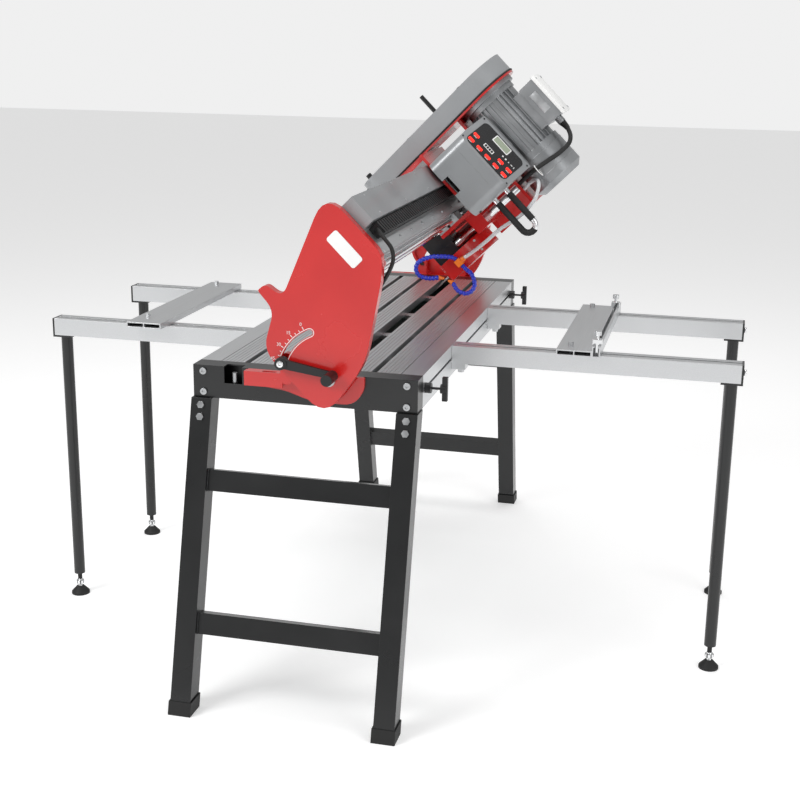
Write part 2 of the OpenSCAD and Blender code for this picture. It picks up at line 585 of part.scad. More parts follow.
arbor_u = 14;
module spindle_shaft() color("#b6babd") tilted() {
  rod_u_axis(pulley_u[0] - 6, arbor_u, spindle_y, spindle_w, 12);
  pulley(spindle_y, spindle_w, spindle_pulley_r);
  rod_u_axis(-8, -1.3, spindle_y, spindle_w, 30);
  rod_u_axis(1.3, 6, spindle_y, spindle_w, 30);
  translate([6, spindle_y, spindle_w]) rotate([0, 90, 0]) cylinder(h = 8, r = 18, $fn = 6);
}
module saw_blade() color("#b9bcbe") tilted() difference() {
  union() {
    rod_u_axis(-0.9, 0.9, spindle_y, spindle_w, blade_d / 2 - 8);
    rod_u_axis(-1.2, 1.2, spindle_y, spindle_w, blade_d / 2);
  }
  rod_u_axis(-3, 3, spindle_y, spindle_w, 12.02);
  for (a = [0:30:330]) translate([0, spindle_y, spindle_w]) rotate([a, 0, 0])
    translate([-3, -1, blade_d / 2 - 22]) cube([6, 2, 30]);
}
guard_outline = [[-120, -25, 8], [-120, 70, 30], [-60, 118, 40], [60, 118, 40], [120, 60, 30], [120, -12, 8]];
module guard_flat(shrink = 0) translate([spindle_y, spindle_w]) offset(delta = -shrink) polygon(rounded(guard_outline));
module blade_guard() color("#c8341f") tilted() difference() {
  on_yw(guard_u[0], guard_u[1] - guard_u[0]) guard_flat();
  on_yw(guard_u[0] + 2.5, guard_u[1] - guard_u[0] - 5) {
    guard_flat(2.5);
    translate([spindle_y - 117.5, spindle_w - 60]) square([235, 60]);
  }
  rod_u_axis(guard_u[0] - 1, guard_u[0] + 4, spindle_y, spindle_w, 34);
}

// Block on the guard's front wall that feeds the two nozzles
module coolant_manifold() color("#d2581e") tilted() {
  box([-18, spindle_y - 142, 184], [2, spindle_y - 120, 202]);
  translate([-8, spindle_y - 131, 201]) cylinder(h = 11, r = 7);
  translate([-16, 726, 124]) rotate([0, 60, 30]) cylinder(h = 16, r1 = 6.5, r2 = 3);
  translate([22, 720, 146]) rotate([0, 115, 158]) cylinder(h = 16, r1 = 6.5, r2 = 3);
}
water_path = [[-34, 812, 444], [-36, 807.5, 464], [-34, 796, 482], [-27, 779, 493], [-16, 759, 492.5],
  [-4, 743, 480.5], [8.5, 735.5, 455.5], [12.5, 738.5, 401], [2, 738.5, 343], [0, 740, 290], [-3, 740, 250],
  [-8, 739, 212]];
left_path = [[-18, 739, 193], [-34, 731, 187], [-54, 720, 170], [-73, 710, 148], [-83, 703, 118],
  [-72, 704, 98], [-51, 709, 94], [-30, 718, 107], [-16, 726, 124]];
right_path = [[2, 739, 193], [20, 731, 196], [39, 721, 200.5], [63.5, 712, 191], [72, 708, 173.5],
  [66, 707.5, 155], [45, 712, 143.5], [22, 720, 146]];
module coolant_hoses() color("#2433b8") tilted() {
  tube(spline(water_path, 4), 5, [0.9, 0.4, 0.1]);
  tube(spline(left_path, 3), 5.5, [0.1, 0.95, 0.1]);
  tube(spline(right_path, 3), 5.5, [0.1, 0.95, 0.1]);
}
motor_cable_path = [[-98, 870, 632], [-76, 861.5, 633], [-54.5, 847, 626.5], [-42, 828, 611],
  [-41, 803, 581], [-46, 787, 548], [-51, 782, 512], [-54, 789, 478], [-54, 803, 456], [-54, 812, 444]];
module motor_cable() color("#131314") tilted() tube(spline(motor_cable_path, 4), 6, [0.3, -0.9, 0.3]);

// --- side extensions --------------------------------------------------------------------------------------
// One rail from the table's side rail outward, made for the right-hand side
module ext_rail(reach, y) {
  difference() {
    box([half_w + gap, y - ext_w / 2, ext_bottom], [reach - end_t, y + ext_w / 2, ext_top]);
    box([half_w + 10, y - ext_w / 2 + 3, ext_bottom + 3], [reach, y + ext_w / 2 - 3, ext_top - 3]);
    box([half_w + 10, y - slide_slot / 2, ext_top - 4], [reach, y + slide_slot / 2, ext_top + 1]);
  }
  // hook in the T-slot and its clamp
  box([half_w - 12.5, y - ext_w / 2, t_slot_z - 5], [half_w - 6.5, y + ext_w / 2, t_slot_z + 8]);
  box([half_w - 7, y - ext_w / 2, t_slot_z - 1.5], [half_w + 3, y + ext_w / 2, t_slot_z + 4.5]);
  box([half_w + gap, y - 18, ext_bottom - 16], [half_w + 34, y + 18, ext_bottom + 1]);
  translate([half_w + 20, y, ext_bottom - 26]) cylinder(h = 11, r = 8, $fn = 6);
}
module outrigger(reach, y) {
  x = reach - outrigger_in;
  difference() {
    union() {
      translate([x, y, foot_h]) cylinder(h = ext_bottom - end_t - foot_h + 1, r = outrigger_d / 2);
      // angle bracket under and over the rail's end
      box([x - ext_w / 2, y - ext_w / 2, ext_bottom - end_t], [reach, y + ext_w / 2, ext_bottom]);
      box([reach - end_t, y - ext_w / 2, ext_bottom - end_t], [reach, y + ext_w / 2, ext_top]);
      translate([reach - 1, y, ext_top - ext_h / 2]) rotate([0, 90, 0]) cylinder(h = 7, r = 7);
    }
    translate([x, y, foot_h + 50]) cylinder(h = ext_bottom - end_t - foot_h - 60, r = outrigger_d / 2 - 2);
    translate([x, y, foot_h - 1]) cylinder(h = 60, r = stem_r + fit);
  }
}
module ext_rails(reach) for (y = [ext_front_y, ext_rear_y]) ext_rail(reach, y);
module outriggers(reach) for (y = [ext_front_y, ext_rear_y]) outrigger(reach, y);
module left_rails() color("#c0c4c6") mirror([1, 0, 0]) ext_rails(left_reach);
module right_rails() color("#c0c4c6") ext_rails(right_reach);
module left_outriggers() color("#19191a") mirror([1, 0, 0]) outriggers(left_reach);
module right_outriggers() color("#19191a") outriggers(right_reach);

plate_w = 95;
module cross_plate_body(x, w, y0, y1) difference() {
  box([x, y0, ext_top + gap], [x + w, y1, ext_top + gap + plate_t]);
  for (i = [0, 1]) box([x + 3 + i * (w - 3) / 2, y0 - 1, ext_top + gap + 3], [x + i * (w - 3) / 2 + (w - 3) / 2, y1 + 1, ext_top + gap + plate_t - 3]);
}
// Bolts through the plate, with a square head that slides under each rail's top wall
module slide_bolts(x) for (y = [ext_front_y, ext_rear_y]) {
  translate([x, y, ext_top - 8]) cylinder(h = 9 + plate_t + gap, r = 3.5);
  box([x - 6, y - 7, ext_top - 8], [x + 6, y + 7, ext_top - 3 - gap]);
  translate([x, y, ext_top + gap + plate_t]) cylinder(h = 10, r = 7, $fn = 6);
}
left_plate_x = -(left_reach - 235);
right_plate_x = right_reach - 444;
cross_y = [ext_front_y - 69, ext_rear_y + 35];
fence_x = right_plate_x + 86;
module left_cross_plate() color("#a9adb0") {
  cross_plate_body(left_plate_x, plate_w, cross_y[0], cross_y[1]);
  slide_bolts(left_plate_x + 30);
}
module right_cross_plate() color("#b7bbbe") {
  slide_bolts(right_plate_x + 30);
  cross_plate_body(right_plate_x, 86, cross_y[0] + 20, cross_y[1]);
  // fence channel along the right-hand edge
  difference() {
    box([fence_x, cross_y[0] + 20, ext_top + gap], [fence_x + 20, cross_y[1], ext_top + 27]);
    box([fence_x + 3, 0, ext_top + 3], [fence_x + 17, table_l, ext_top + 24]);
    box([fence_x + 6, 0, ext_top + 20], [fence_x + 14, table_l, ext_top + 28]);
  }
}
module fence_stop(y) color("#c9ccd0") {
  box([fence_x - 1, y - 11, ext_top + 27 + gap], [fence_x + 21, y + 11, ext_top + 40]);
  box([fence_x + 7, y - 9, ext_top + 8], [fence_x + 13, y + 9, ext_top + 28]);
  translate([fence_x + 10, y, ext_top + 39]) cylinder(h = 16, r = 4);
  translate([fence_x + 10, y, ext_top + 50]) cylinder(h = 10, r = 9);
}
stop_y = [ext_front_y - 20, ext_rear_y - 30];
module front_stop() fence_stop(stop_y[0]);
module rear_stop() fence_stop(stop_y[1]);

// Levelling foot: pad, lock nut and threaded stem
module foot(x, y) color("#1a1a1b") translate([x, y, 0]) {
  cylinder(h = 6, r = 25);
  translate([0, 0, 5.99]) cylinder(h = 16, r1 = 25, r2 = 10);
  cylinder(h = foot_h + 45, r = stem_r);
  translate([0, 0, 30]) cylinder(h = 9, r = 11, $fn = 6);
}
foot_left = -(left_reach - outrigger_in);
foot_right = right_reach - outrigger_in;
module foot_1() foot(foot_left, ext_front_y);
module foot_2() foot(foot_left, ext_rear_y);
module foot_3() foot(foot_right, ext_front_y);
module foot_4() foot(foot_right, ext_rear_y);

row() {
  end_beams();
  side_rails();
  table_slats();
  water_tray();
  leg_frames();
  leg_foot_caps();
  frame_bolts();
  base_brackets();
  tilt_plates();
  bridge_beam();
  guide_rods();
  beam_cover();
  cable_chain();
  power_cable();
  front_lock_lever();
  rear_lock_lever();
  front_rail_knob();
  rear_rail_knob();
  carriage_saddle();
  carriage_bearings();
  control_box();
  control_bezel();
  control_panel();
  panel_key(0);  // key_1
  panel_key(1);  // key_2
  panel_key(2);  // key_3
  panel_key(3);  // key_4
  panel_key(4);  // key_5
  panel_key(5);  // key_6
  panel_key(6);  // key_7
  panel_key(7);  // key_8
  push_handle();
  head_frame();
  plunge_rods();
  motor_housing();
  motor_fan_cover();
  terminal_box();
  motor_rotor();
  drive_belt();
  belt_cover();
  cover_knobs();
  spindle_housing();
  spindle_shaft();
  saw_blade();
  blade_guard();
  coolant_manifold();
  coolant_hoses();
  motor_cable();
  left_rails();
  left_outriggers();
  right_rails();
  right_outriggers();
  left_cross_plate();
  right_cross_plate();
  front_stop();
  rear_stop();
  foot_1();
  foot_2();
  foot_3();
  foot_4();
}
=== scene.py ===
"""Looks of a wet tile saw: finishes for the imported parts, and the small pieces that sit on them."""
import json
import math

import bmesh
import bpy
from mathutils import Matrix, Vector


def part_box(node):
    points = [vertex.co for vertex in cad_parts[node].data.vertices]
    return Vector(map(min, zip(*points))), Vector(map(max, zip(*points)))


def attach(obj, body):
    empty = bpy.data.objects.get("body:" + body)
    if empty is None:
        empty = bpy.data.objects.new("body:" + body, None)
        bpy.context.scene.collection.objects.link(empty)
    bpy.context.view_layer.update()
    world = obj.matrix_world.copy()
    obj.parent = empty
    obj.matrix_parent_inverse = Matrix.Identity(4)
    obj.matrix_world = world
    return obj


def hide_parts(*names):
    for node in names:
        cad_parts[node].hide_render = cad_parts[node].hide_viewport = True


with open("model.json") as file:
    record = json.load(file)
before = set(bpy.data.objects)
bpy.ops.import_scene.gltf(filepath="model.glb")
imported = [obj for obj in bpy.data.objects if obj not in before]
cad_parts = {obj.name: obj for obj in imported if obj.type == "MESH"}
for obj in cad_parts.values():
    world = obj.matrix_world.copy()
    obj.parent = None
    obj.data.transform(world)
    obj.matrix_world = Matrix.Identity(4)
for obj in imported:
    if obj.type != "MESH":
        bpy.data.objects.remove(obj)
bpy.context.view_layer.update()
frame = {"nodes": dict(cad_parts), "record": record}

# Sizes in millimetres, turned into metres as a piece is put in place. x and y count from the middle of
# the table's front end. On the bridge, u runs across and w up from the tilt axis, and y is the table's.
MM = 0.001
TABLE_L = 1316
HALF_W = 268
MIDDLE = (77, TABLE_L / 2)       # x and y of the whole saw's middle, extensions and all
PIVOT = (76, 800)                # x and z of the tilt axis
BEAM_Z = 721                     # height at which the legs meet the table's end beams
LEG_TUBE = 50
LEG_LEAN = 14.5                  # degrees
LEG_OVERHANG = 9                 # how far the legs stand out past the end beams
CASTING_FACE = -50               # y of the front casting's outer face
SLOT_R = 112                     # the lock lever's arc slot, round the tilt axis
LOCK_ANGLE = 163.5               # where the lever's bolt stands round that axis, in degrees
SLOT_ENDS = (-5, 46)             # the slot's ends in degrees from the bolt, with the bridge upright
SPINDLE = (870, 162)             # y and w of the two shafts
MOTOR = (870, 528)
FAN_COVER_R = 76
BELT_COVER_ENDS = (97, 55)       # radii of its ends, at the motor and at the spindle
BELT_COVER_MOUTH = -297          # u of its open side
BOX_U = -157                     # middle of the control box
BOX_HALF_W = 91
PANEL_FRONT = (655, 444)         # y and w of the sloping panel's lower edge
EXTENSION_RAILS = (389, 877)     # y of the extensions' two rails
RAIL_Z = 774.5
HANDLE_Y = 720
HANDLE_BARS = (385, 425)         # w of the push handle's two straights


def table_place():
    """Turns the table's millimetres into the part's own frame."""
    return Matrix.Scale(MM, 4) @ Matrix.Translation((-MIDDLE[0], -MIDDLE[1], 0))


def bridge_place():
    """Turns the bridge's own millimetres into the part's frame, at rest: tilted by 45 degrees."""
    tilt = Matrix.Rotation(math.radians(45), 4, "Y")
    return table_place() @ Matrix.Translation((PIVOT[0], 0, PIVOT[1])) @ tilt


def panel_place():
    """The sloping control panel: x across, y up the slope, z out of it."""
    front = Matrix.Translation((BOX_U, PANEL_FRONT[0], PANEL_FRONT[1]))
    return bridge_place() @ front @ Matrix.Rotation(math.radians(30), 4, "X")


def leg_place(rear):
    """A leaning leg frame, with z along the legs and 0 at the beam."""
    lean = Matrix.Rotation(math.radians(-LEG_LEAN), 4, "X")
    leaning = Matrix.Translation((0, LEG_TUBE / 2 - LEG_OVERHANG, BEAM_Z)) @ lean
    flip = Matrix.Translation((0, TABLE_L, 0)) @ Matrix.Scale(-1, 4, (0, 1, 0))
    return table_place() @ (flip @ leaning if rear else leaning)


TABLE = table_place()
BRIDGE = bridge_place()
PANEL = panel_place()

# --- camera ------------------------------------------------------------------------------------
YAW, PITCH, ROLL = (math.radians(a) for a in (13.789, 15.490, -0.771))
CAMERA_AT = (0.8417, -3.4765, 1.5551)
CAMERA_LENS = 60.41


def add_camera():
    """A camera turned left by YAW, tipped down by PITCH and rolled by ROLL."""
    ahead = Vector((-math.sin(YAW) * math.cos(PITCH), math.cos(YAW) * math.cos(PITCH), -math.sin(PITCH)))
    level = Vector((math.cos(YAW), math.sin(YAW), 0))
    down = ahead.cross(level)
    right = level * math.cos(ROLL) + down * math.sin(ROLL)
    up = level * math.sin(ROLL) - down * math.cos(ROLL)
    data = bpy.data.cameras.new("camera")
    data.sensor_width = 36
    data.lens = CAMERA_LENS
    camera = bpy.data.objects.new("camera", data)
    turn = Matrix((right, up, -ahead)).transposed().to_4x4()
    camera.matrix_world = Matrix.Translation(CAMERA_AT) @ turn
    bpy.context.scene.collection.objects.link(camera)
    bpy.context.scene.camera = camera


add_camera()


# --- shared effects ----------------------------------------------------------------------------
def new_group(name, inputs, outputs):
    group = bpy.data.node_groups.new(name, "ShaderNodeTree")
    for label, default in inputs:
        socket = group.interface.new_socket(label, in_out="INPUT", socket_type="NodeSocketFloat")
        socket.default_value = default
    for label, kind in outputs:
        group.interface.new_socket(label, in_out="OUTPUT", socket_type=kind)
    return group, group.nodes.new("NodeGroupInput"), group.nodes.new("NodeGroupOutput")


def math_node(tree, operation, a=None, b=None, clamp=False):
    node = tree.nodes.new("ShaderNodeMath")
    node.operation = operation
    node.use_clamp = clamp
    for socket, value in zip(node.inputs, (a, b)):
        if isinstance(value, (int, float)):
            socket.default_value = value
        elif value is not None:
            tree.links.new(value, socket)
    return node.outputs[0]


def mottle_group():
    """Slow patches and fine grain over a finish: a mask near 0.5 and a height."""
    group, given, out = new_group("mottle", [("Patch Scale", 6), ("Grain Scale", 900)],
                                  [("Mask", "NodeSocketFloat"), ("Height", "NodeSocketFloat")])
    where = group.nodes.new("ShaderNodeTexCoord")
    patch, grain = (group.nodes.new("ShaderNodeTexNoise") for _ in range(2))
    patch.inputs["Detail"].default_value = 5
    grain.inputs["Detail"].default_value = 3
    for noise, label in ((patch, "Patch Scale"), (grain, "Grain Scale")):
        group.links.new(where.outputs["Object"], noise.inputs["Vector"])
        group.links.new(given.outputs[label], noise.inputs["Scale"])
    group.links.new(patch.outputs["Fac"], out.inputs["Mask"])
    group.links.new(grain.outputs["Fac"], out.inputs["Height"])
    return group


def streak_group():
    """Fine drawn lines that run along y, the length of the table and bridge."""
    group, given, out = new_group("streaks", [("Fineness", 700)], [("Mask", "NodeSocketFloat")])
    where = group.nodes.new("ShaderNodeTexCoord")
    stretch = group.nodes.new("ShaderNodeMapping")
    stretch.inputs["Scale"].default_value = (1, 0.006, 1)
    lines = group.nodes.new("ShaderNodeTexNoise")
    lines.inputs["Detail"].default_value = 4
    group.links.new(where.outputs["Object"], stretch.inputs["Vector"])
    group.links.new(stretch.outputs["Vector"], lines.inputs["Vector"])
    group.links.new(given.outputs["Fineness"], lines.inputs["Scale"])
    group.links.new(lines.outputs["Fac"], out.inputs["Mask"])
    return group


def worn_edge_group():
    """Where two faces meet at a corner, broken up by noise, and a normal that rounds the corner."""
    group, given, out = new_group("worn_edge", [("Width", 0.0015), ("Wear", 0.5)],
                                  [("Mask", "NodeSocketFloat"), ("Normal", "NodeSocketVector")])
    rounded = group.nodes.new("ShaderNodeBevel")
    rounded.samples = 4
    shape = group.nodes.new("ShaderNodeNewGeometry")
    alike = group.nodes.new("ShaderNodeVectorMath")
    alike.operation = "DOT_PRODUCT"
    where = group.nodes.new("ShaderNodeTexCoord")
    chips = group.nodes.new("ShaderNodeTexNoise")
    chips.inputs["Scale"].default_value = 70
    chips.inputs["Detail"].default_value = 6
    links = group.links
    links.new(given.outputs["Width"], rounded.inputs["Radius"])
    links.new(rounded.outputs["Normal"], alike.inputs[0])
    links.new(shape.outputs["Normal"], alike.inputs[1])
    links.new(where.outputs["Object"], chips.inputs["Vector"])
    corner = math_node(group, "SUBTRACT", 1.0, alike.outputs["Value"], clamp=True)
    broken = math_node(group, "SUBTRACT", chips.outputs["Fac"], 0.45, clamp=True)
    worn = math_node(group, "MULTIPLY", math_node(group, "MULTIPLY", corner, broken), 14.0)
    links.new(math_node(group, "MULTIPLY", worn, given.outputs["Wear"], clamp=True), out.inputs["Mask"])
    links.new(rounded.outputs["Normal"], out.inputs["Normal"])
    return group


MOTTLE = mottle_group()
STREAKS = streak_group()
WORN_EDGE = worn_edge_group()


# --- materials -----------------------------------------------------------------------------------
def use_group(tree, group, **values):
    node = tree.nodes.new("ShaderNodeGroup")
    node.node_tree = group
    for label, value in values.items():
        node.inputs[label.replace("_", " ")].default_value = value
    return node


def mix_colour(tree, mask, a, b):
    """a where mask is 0 and b where it is 1; a may be a colour or a socket."""
    node = tree.nodes.new("ShaderNodeMix")
    node.data_type = "RGBA"
    tree.links.new(mask, node.inputs[0])
    for socket, value in ((node.inputs[6], a), (node.inputs[7], b)):
        if isinstance(value, tuple):
            socket.default_value = (*value, 1)
        else:
            tree.links.new(value, socket)
    return node.outputs[2]


def spread(tree, mask, low, high):
    """A mask near 0.5 turned into a value from low to high."""
    node = tree.nodes.new("ShaderNodeMapRange")
    node.inputs["From Min"].default_value = 0.3
    node.inputs["From Max"].default_value = 0.7
    node.inputs["To Min"].default_value = low
    node.inputs["To Max"].default_value = high
    tree.links.new(mask, node.inputs["Value"])
    return node.outputs["Result"]


def finish(name, colour, shade, rough, metal=0.0, coat=0.0, patch=6, grain=900, bump=0.0,
           streaks=0, edge=None, wear=0.0, painted_glow=None, clear=0.0):
    """One finish: two near shades in patches, a roughness range, and grain, drawn lines or worn edges;
    painted_glow adds emission, a painted glow.
    """
    material = bpy.data.materials.new(name)
    material.use_nodes = True
    tree = material.node_tree
    shader = tree.nodes["Principled BSDF"]
    shader.inputs["Metallic"].default_value = metal
    shader.inputs["Coat Weight"].default_value = coat
    shader.inputs["Coat Roughness"].default_value = 0.08
    shader.inputs["Transmission Weight"].default_value = clear
    mottle = use_group(tree, MOTTLE, Patch_Scale=patch, Grain_Scale=grain)
    mask = mottle.outputs["Mask"]
    height = mottle.outputs["Height"]
    if streaks:
        mask = height = use_group(tree, STREAKS, Fineness=streaks).outputs["Mask"]
    surface = mix_colour(tree, spread(tree, mask, 0, 1), colour, shade)
    corner = use_group(tree, WORN_EDGE, Width=0.0012, Wear=wear)
    if edge:
        surface = mix_colour(tree, corner.outputs["Mask"], surface, edge)
    tree.links.new(surface, shader.inputs["Base Color"])
    tree.links.new(spread(tree, mask, rough[0], rough[1]), shader.inputs["Roughness"])
    bumped = tree.nodes.new("ShaderNodeBump")
    bumped.inputs["Strength"].default_value = bump
    bumped.inputs["Distance"].default_value = 0.0003
    tree.links.new(height, bumped.inputs["Height"])
    tree.links.new(corner.outputs["Normal"], bumped.inputs["Normal"])
    tree.links.new(bumped.outputs["Normal"], shader.inputs["Normal"])
    # Painted glow: emission that makes a part look lit from within, though it is no lamp.
    if painted_glow:
        shader.inputs["Emission Color"].default_value = (*painted_glow, 1)
        shader.inputs["Emission Strength"].default_value = 0.9
    return material


FINISHES = {
    "black_frame": finish("black_powder_coat", (0.004, 0.0045, 0.005), (0.008, 0.0085, 0.009),
                          (0.24, 0.36), coat=0.15, grain=1400, bump=0.18, edge=(0.10, 0.10, 0.11), wear=0.35),
    "red_paint": finish("red_enamel", (0.52, 0.010, 0.010), (0.60, 0.016, 0.014), (0.20, 0.30), coat=0.6,
                        grain=500, bump=0.08, edge=(0.75, 0.10, 0.08), wear=0.25),
    "grey_paint": finish("grey_enamel", (0.30, 0.31, 0.32), (0.35, 0.36, 0.37), (0.30, 0.42), metal=0.35,
                         coat=0.2, grain=1600, bump=0.12, edge=(0.50, 0.51, 0.52), wear=0.3),
    "aluminium_rail": finish("drawn_aluminium", (0.60, 0.61, 0.62), (0.68, 0.69, 0.70), (0.28, 0.38),
                             metal=0.9, streaks=900, bump=0.04, edge=(0.86, 0.87, 0.88), wear=0.3),
    "aluminium_cast": finish("silver_casting", (0.30, 0.31, 0.32), (0.40, 0.41, 0.42), (0.30, 0.44),
                             metal=0.85, patch=14, grain=700, bump=0.35, edge=(0.62, 0.63, 0.64), wear=0.5),
    "chrome_rod": finish("polished_chrome", (0.78, 0.79, 0.80), (0.84, 0.85, 0.86), (0.05, 0.12),
                         metal=1.0, patch=20, bump=0.02),
    "steel_parts": finish("turned_steel", (0.40, 0.41, 0.42), (0.55, 0.56, 0.57), (0.25, 0.42), metal=0.95,
                          patch=40, grain=1200, bump=0.12, edge=(0.7, 0.7, 0.7), wear=0.4),
    "blade_steel": finish("ground_blade", (0.50, 0.51, 0.52), (0.62, 0.63, 0.64), (0.22, 0.36), metal=0.95,
                          patch=60, grain=1600, bump=0.12),
    "galvanised_tray": finish("dark_tray", (0.020, 0.034, 0.030), (0.034, 0.052, 0.046), (0.16, 0.34),
                              coat=0.4, grain=600, bump=0.1),
    "black_plastic": finish("black_moulding", (0.006, 0.006, 0.0065), (0.011, 0.011, 0.012), (0.34, 0.5),
                            grain=1800, bump=0.25, edge=(0.06, 0.06, 0.06), wear=0.3),
    "panel_black": finish("membrane", (0.006, 0.006, 0.007), (0.010, 0.010, 0.011), (0.16, 0.26), coat=0.5,
                          grain=2200, bump=0.05),
    # The red keys get a painted glow: emission, though the keys are no lamps.
    "key_red": finish("red_key_painted_glow", (0.80, 0.012, 0.010), (0.90, 0.030, 0.020), (0.20, 0.30), coat=0.4,
                      painted_glow=(1.0, 0.03, 0.015)),
    "black_rubber": finish("moulded_rubber", (0.006, 0.006, 0.006), (0.012, 0.012, 0.012), (0.55, 0.75),
                           grain=1300, bump=0.4),
    "orange_plastic": finish("orange_fitting", (0.80, 0.16, 0.012), (0.88, 0.22, 0.02), (0.28, 0.4),
                             grain=1500, bump=0.1),
    "clear_hose": finish("clear_tube", (0.80, 0.83, 0.85), (0.88, 0.90, 0.92), (0.08, 0.16), clear=0.35,
                         bump=0.03),
    "blue_hose": finish("blue_segments", (0.010, 0.022, 0.42), (0.016, 0.035, 0.52), (0.26, 0.38), coat=0.2,
                        grain=1400, bump=0.1),
    "white_print": finish("white_print", (0.82, 0.82, 0.81), (0.88, 0.88, 0.87), (0.35, 0.45), bump=0.04),
    "display": finish("grey_display", (0.30, 0.35, 0.26), (0.34, 0.39, 0.29), (0.10, 0.16), coat=0.5),
    "weld": finish("painted_weld", (0.010, 0.011, 0.012), (0.020, 0.020, 0.022), (0.3, 0.5), grain=260,
                   bump=0.8),
}

for row in frame["record"]["subparts"]:
    node = frame["nodes"][row["node"]]
    node.data.materials.clear()
    node.data.materials.append(FINISHES[row["material_slot"]])


# --- making pieces -------------------------------------------------------------------------------
def clear_selection():
    if bpy.context.object and bpy.context.object.mode != "OBJECT":
        bpy.ops.object.mode_set(mode="OBJECT")
    bpy.ops.object.select_all(action="DESELECT")


def edit_mesh(piece, pick=None):
    """Opens the piece for shaping, with all of it selected, or the faces that pick says yes to."""
    bpy.context.view_layer.objects.active = piece
    bpy.ops.object.mode_set(mode="EDIT")
    bpy.ops.mesh.select_mode(type="FACE")
    bpy.ops.mesh.select_all(action="DESELECT" if pick else "SELECT")
    if pick:
        mesh = bmesh.from_edit_mesh(piece.data)
        for face in [f for f in mesh.faces if pick(f)]:
            face.select_set(True)
        bmesh.update_edit_mesh(piece.data)


def close_up(piece):
    """Merges the doubled points and turns every face outwards."""
    edit_mesh(piece)
    bpy.ops.mesh.remove_doubles(threshold=0.001)
    bpy.ops.mesh.select_all(action="SELECT")
    bpy.ops.mesh.normals_make_consistent(inside=False)
    bpy.ops.object.mode_set(mode="OBJECT")


def settle(piece, name, body, slot, place, paint=None, angle=35):
    """Bakes the place into the mesh, gives the piece its finish and puts it on its body."""
    clear_selection()
    piece.select_set(True)
    bpy.context.view_layer.objects.active = piece
    bpy.ops.object.transform_apply(location=True, rotation=True, scale=True)
    close_up(piece)
    piece.name = name
    piece.data.transform(place)
    if place.determinant() < 0:
        piece.data.flip_normals()
    piece.data.materials.clear()
    piece.data.materials.append(FINISHES[paint or slot])
    bpy.ops.object.shade_smooth_by_angle(angle=math.radians(angle))
    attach(piece, body)
    return piece


def apply_bevel(piece, width, segments=2):
    bevel = piece.modifiers.new("edge", "BEVEL")
    bevel.width = width
    bevel.segments = segments
    bevel.limit_method = "ANGLE"
    bpy.ops.object.modifier_apply(modifier=bevel.name)


def slab(low, high, round_by=0.4):
    """A block between two corners, with rounded edges."""
    clear_selection()
    middle = [(a + b) / 2 for a, b in zip(low, high)]
    bpy.ops.mesh.primitive_cube_add(size=1, location=middle)
    piece = bpy.context.object
    piece.scale = [b - a for a, b in zip(low, high)]
    bpy.ops.object.transform_apply(location=False, rotation=False, scale=True)
    apply_bevel(piece, round_by)
    return piece


def turned(radius, length, at, round_by, sides, socket=0.0):
    """A round or many-sided piece along z; socket is the share of its radius that is sunk into its top."""
    clear_selection()
    bpy.ops.mesh.primitive_cylinder_add(vertices=sides, radius=radius, depth=length, location=at)
    piece = bpy.context.object
    apply_bevel(piece, round_by)
    if socket:
        edit_mesh(piece, lambda face: face.normal.z > 0.99)
        bpy.ops.mesh.inset(thickness=(radius - round_by) * (1 - socket))
        bpy.ops.mesh.extrude_region_move(TRANSFORM_OT_translate={"value": (0, 0, -length * 0.55)})
        bpy.ops.object.mode_set(mode="OBJECT")
    return piece


def rounded_plate(width, height, corner, low, high, at):
    """A plate with round corners; lies in x and y, from z = low to high."""
    clear_selection()
    bpy.ops.mesh.primitive_plane_add(size=1, location=(at[0], at[1], low))
    piece = bpy.context.object
    piece.scale = (width, height, 1)
    bpy.ops.object.transform_apply(location=False, rotation=False, scale=True)
    bpy.ops.object.mode_set(mode="EDIT")
    bpy.ops.mesh.select_all(action="SELECT")
    bpy.ops.mesh.bevel(offset=corner, segments=5, affect="VERTICES")
    bpy.ops.mesh.select_all(action="SELECT")
    bpy.ops.mesh.extrude_region_move(TRANSFORM_OT_translate={"value": (0, 0, high - low)})
    bpy.ops.mesh.select_all(action="SELECT")
    bpy.ops.mesh.normals_make_consistent(inside=False)
    bpy.ops.object.mode_set(mode="OBJECT")
    return piece


def move_mesh(piece, place):
    """Takes the piece's own place into its mesh, then moves the mesh to the place given."""
    piece.data.transform(Matrix.Translation(piece.location))
    piece.location = (0, 0, 0)
    piece.data.transform(place)


def join(pieces):
    clear_selection()
    for piece in pieces:
        piece.select_set(True)
    bpy.context.view_layer.objects.active = pieces[0]
    if len(pieces) > 1:
        bpy.ops.object.join()
    return bpy.context.object


# --- routes and round bars ---------------------------------------------------------------------------
def around(steps):
    """The angles of that many even steps round a circle."""
    return [2 * math.pi * k / steps for k in range(steps)]


def spline(points, steps):
    """A smooth curve through the points, with that many steps between each pair."""
    p = [Vector(q) for q in points]
    last = len(p) - 1
    route = []
    for i in range(last):
        a, b, c, d = p[max(i - 1, 0)], p[i], p[i + 1], p[min(i + 2, last)]
        for k in range(steps):
            t = k / steps
            route.append(0.5 * (2 * b + (c - a) * t + (2 * a - 5 * b + 4 * c - d) * t ** 2
                                + (3 * b - a - 3 * c + d) * t ** 3))
    return route + [p[last]]


